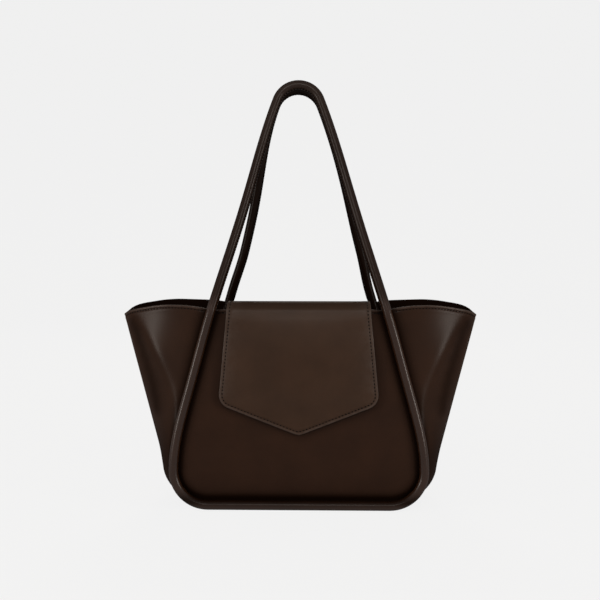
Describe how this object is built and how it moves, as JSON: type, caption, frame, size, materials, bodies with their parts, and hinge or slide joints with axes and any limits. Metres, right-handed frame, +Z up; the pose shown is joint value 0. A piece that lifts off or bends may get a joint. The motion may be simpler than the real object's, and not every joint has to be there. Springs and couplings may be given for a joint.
{
  "type": "flap tote bag",
  "caption": "Brown leather tote bag with pleated wings, a pointed front flap and rolled handles that run round its panels.",
  "frame": {"origin": "centre of the bag's footprint, on the surface that it stands on", "axes": "+Z up, -Y towards the front with the flap, +X towards the bag's left as it is worn facing out, the viewer's right"},
  "size_m": [0.4236, 0.131, 0.5002],
  "materials": {
    "leather": "smooth satin",
    "flap_leather": "smooth satin",
    "flap_lining": "matt suede",
    "lining": "woven twill",
    "board": "matt",
    "cord": "twisted cotton",
    "snap_metal": "satin nickel"
  },
  "bodies": {
    "bag_body": {"front_panel": "leather", "rear_panel": "leather", "left_wing": "leather", "right_wing": "leather", "base_panel": "leather", "base_board": "board", "front_stiffener": "board", "rear_stiffener": "board", "front_facing": "leather", "rear_facing": "leather", "left_wing_facing": "leather", "right_wing_facing": "leather", "front_lining": "lining", "rear_lining": "lining", "left_wing_lining": "lining", "right_wing_lining": "lining", "base_lining": "lining", "slip_pocket": "lining", "front_tube_sleeve": "leather", "front_tube_cord": "cord", "rear_tube_sleeve": "leather", "rear_tube_cord": "cord", "flap_root": "flap_leather", "snap_socket": "snap_metal", "snap_socket_washer": "snap_metal"},
    "front_handle": {"front_handle_sleeve": "leather", "front_handle_cord": "cord"},
    "rear_handle": {"rear_handle_sleeve": "leather", "rear_handle_cord": "cord"},
    "flap_bridge": {"flap_bridge_leather": "flap_leather", "flap_bridge_lining": "flap_lining"},
    "flap_drop": {"flap_drop_leather": "flap_leather", "flap_drop_lining": "flap_lining", "snap_stud": "snap_metal", "snap_stud_washer": "snap_metal"}
  },
  "joints": [
    {"name": "front_handle_hinge", "type": "hinge", "parent": "bag_body", "child": "front_handle", "pos_m": [0, -0.05599, 0.233], "axis": [1, 0, 0], "range_deg": [0, 155]},
    {"name": "rear_handle_hinge", "type": "hinge", "parent": "bag_body", "child": "rear_handle", "pos_m": [0, 0.05599, 0.233], "axis": [-1, 0, 0], "range_deg": [0, 155]},
    {"name": "flap_hinge", "type": "hinge", "parent": "bag_body", "child": "flap_bridge", "pos_m": [0, 0.0528, 0.229], "axis": [-1, 0, 0], "range_deg": [0, 200], "deforming": ["flap_bridge_leather", "flap_bridge_lining", "flap_drop_leather", "flap_drop_lining"]},
    {"name": "flap_fold", "type": "hinge", "parent": "flap_bridge", "child": "flap_drop", "pos_m": [0, -0.05887, 0.2292], "axis": [-1, 0, 0], "range_deg": [0, 110]}
  ]
}
